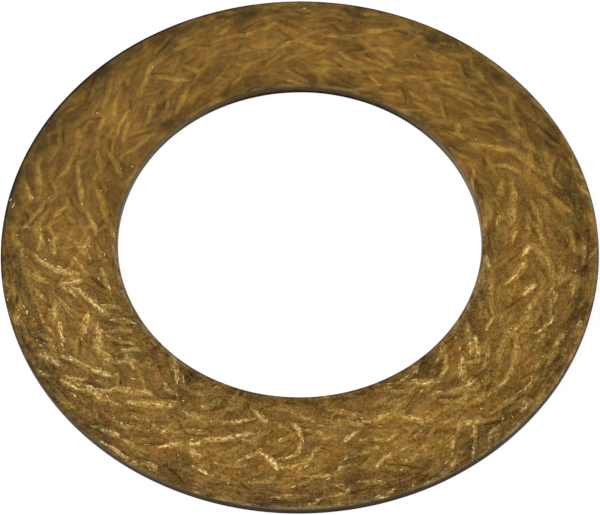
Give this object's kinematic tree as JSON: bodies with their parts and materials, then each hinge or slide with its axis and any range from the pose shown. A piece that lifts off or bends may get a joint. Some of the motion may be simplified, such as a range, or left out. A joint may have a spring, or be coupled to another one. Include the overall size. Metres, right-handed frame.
{
  "type": "friction washer",
  "caption": "Flat one-piece friction washer of pressed wound yarn, with a large plain bore and lightly broken edges.",
  "frame": {"origin": "centre of the bore at the lower face, on which the ring lies", "axes": "+Z along the bore axis, up out of the face that the picture shows; X and Y across the ring"},
  "size_m": [0.2, 0.2, 0.0032],
  "materials": {
    "wound_yarn": "resin-bonded wound yarn, pressed and ground, golden brown with paler strands"
  },
  "bodies": {
    "root": {"friction_ring": "wound_yarn"}
  },
  "joints": []
}
